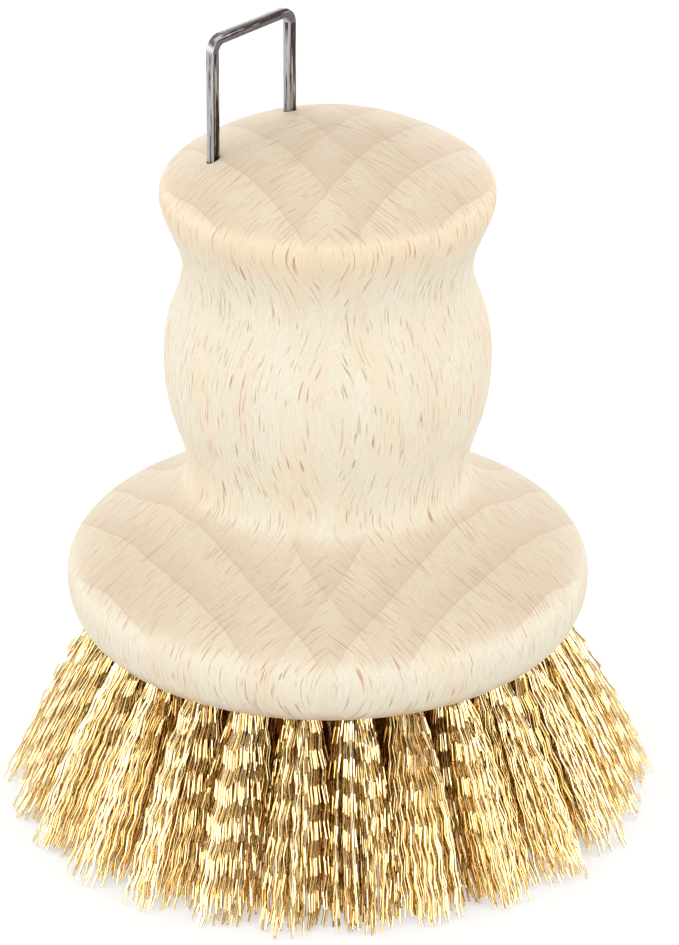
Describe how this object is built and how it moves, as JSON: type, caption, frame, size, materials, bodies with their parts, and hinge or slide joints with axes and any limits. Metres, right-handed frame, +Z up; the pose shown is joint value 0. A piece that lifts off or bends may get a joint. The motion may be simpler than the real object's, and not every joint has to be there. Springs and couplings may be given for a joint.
{
  "type": "palm brush",
  "caption": "Palm brush with a turned wooden knob handle, fanned tufts of crimped brass wire set in its disc, and a steel wire loop to hang it by",
  "frame": {"origin": "On the axis of the turned handle, in the plane of the wire tips that the brush stands on", "axes": "+Z up along the handle's axis to the knob, +X along the bar of the hanging loop, +Y from the axis to the loop's side of the knob"},
  "size_m": [0.0746, 0.0752, 0.0943],
  "materials": {
    "beech": "bare, finely sanded",
    "loop_steel": "bright drawn wire",
    "anchor_steel": "dull drawn flat wire",
    "brass_wire": "bright crimped wire"
  },
  "bodies": {
    "root": {"wooden_handle": "beech", "hanging_loop": "loop_steel", "tuft_anchors": "anchor_steel", "tuft_outer_1": "brass_wire", "tuft_outer_2": "brass_wire", "tuft_outer_3": "brass_wire", "tuft_outer_4": "brass_wire", "tuft_outer_5": "brass_wire", "tuft_outer_6": "brass_wire", "tuft_outer_7": "brass_wire", "tuft_outer_8": "brass_wire", "tuft_outer_9": "brass_wire", "tuft_outer_10": "brass_wire", "tuft_outer_11": "brass_wire", "tuft_outer_12": "brass_wire", "tuft_outer_13": "brass_wire", "tuft_outer_14": "brass_wire", "tuft_outer_15": "brass_wire", "tuft_outer_16": "brass_wire", "tuft_outer_17": "brass_wire", "tuft_outer_18": "brass_wire", "tuft_outer_19": "brass_wire", "tuft_outer_20": "brass_wire", "tuft_outer_21": "brass_wire", "tuft_outer_22": "brass_wire", "tuft_outer_23": "brass_wire", "tuft_outer_24": "brass_wire", "tuft_outer_25": "brass_wire", "tuft_outer_26": "brass_wire", "tuft_middle_1": "brass_wire", "tuft_middle_2": "brass_wire", "tuft_middle_3": "brass_wire", "tuft_middle_4": "brass_wire", "tuft_middle_5": "brass_wire", "tuft_middle_6": "brass_wire", "tuft_middle_7": "brass_wire", "tuft_middle_8": "brass_wire", "tuft_middle_9": "brass_wire", "tuft_middle_10": "brass_wire", "tuft_middle_11": "brass_wire", "tuft_middle_12": "brass_wire", "tuft_middle_13": "brass_wire", "tuft_middle_14": "brass_wire", "tuft_inner_1": "brass_wire", "tuft_inner_2": "brass_wire", "tuft_inner_3": "brass_wire", "tuft_inner_4": "brass_wire", "tuft_inner_5": "brass_wire", "tuft_inner_6": "brass_wire", "tuft_inner_7": "brass_wire", "tuft_centre_1": "brass_wire"}
  },
  "joints": []
}
